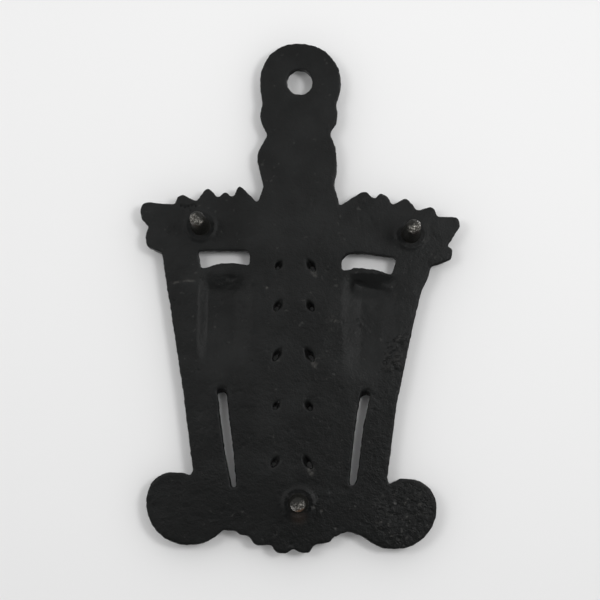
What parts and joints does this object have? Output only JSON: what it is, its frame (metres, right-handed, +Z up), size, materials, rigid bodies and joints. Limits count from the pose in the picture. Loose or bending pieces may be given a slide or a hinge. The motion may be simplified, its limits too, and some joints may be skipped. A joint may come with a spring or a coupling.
{
  "type": "footed trivet",
  "caption": "Flat openwork cast-iron trivet with serrated shoulders, round lower ends, a handle with a hanging hole, and peg feet under its back face.",
  "frame": {"origin": "middle of the object's outline, on the surface that its feet stand on", "axes": "+Z up, with the decorated face up; +Y towards the end of the handle; X across, right when seen from above"},
  "size_m": [0.1272, 0.2032, 0.028],
  "materials": {
    "painted_iron": "satin black paint over as-cast iron, fine grain and small pits, worn to metal on a few edges",
    "worn_iron": "black paint on the shank, rubbed through to rough bare iron with a little rust at the tip"
  },
  "bodies": {
    "root": {"plate": "painted_iron", "foot_right": "worn_iron", "foot_left": "worn_iron", "foot_front": "worn_iron"}
  },
  "joints": []
}
